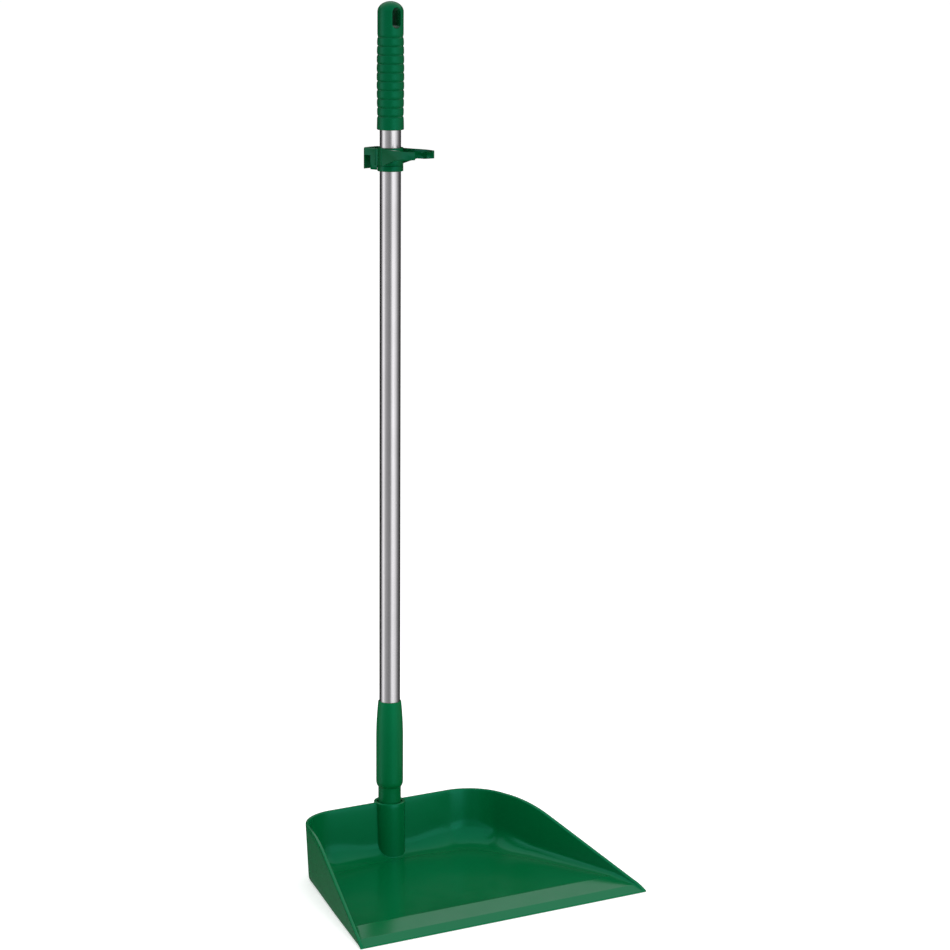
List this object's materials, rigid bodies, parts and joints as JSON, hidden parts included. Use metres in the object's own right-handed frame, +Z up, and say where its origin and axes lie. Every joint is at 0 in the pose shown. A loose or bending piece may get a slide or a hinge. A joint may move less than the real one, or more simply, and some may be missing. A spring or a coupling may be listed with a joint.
{
  "type": "upright dust pan",
  "caption": "Upright dust pan with a flared tray, a screw-in aluminium handle with a ribbed grip, and a sliding clip for a broom handle.",
  "frame": {"origin": "on the axis of the handle, on the floor under the back of the pan", "axes": "+Z up along the handle, -Y out over the front lip, X across the pan"},
  "size_m": [0.3876, 0.3046, 1.0336],
  "materials": {
    "pan_plastic": "satin moulded polypropylene, green",
    "handle_plastic": "satin moulded polypropylene, green",
    "clip_plastic": "glossy moulded polypropylene, green",
    "tube_aluminium": "satin anodised"
  },
  "bodies": {
    "pan_body": {"pan": "pan_plastic"},
    "handle": {"ferrule": "handle_plastic", "tube": "tube_aluminium", "grip": "handle_plastic"},
    "clip_carrier": {"clip_sleeve": "clip_plastic"},
    "clip_swivel_jaw": {"clip_jaw": "clip_plastic"}
  },
  "joints": [
    {"name": "handle_unscrew", "type": "hinge", "parent": "pan_body", "child": "handle", "pos_m": [0, 0, 0.05], "axis": [0, 0, 1], "range_deg": [0, 180]},
    {"name": "clip_slide", "type": "slide", "parent": "handle", "child": "clip_carrier", "axis": [0, 0, 1], "range_m": [-0.64, 0.0203]},
    {"name": "clip_swivel", "type": "hinge", "parent": "clip_carrier", "child": "clip_swivel_jaw", "pos_m": [0, 0, 0.85], "axis": [0, 0, 1], "continuous": true}
  ]
}
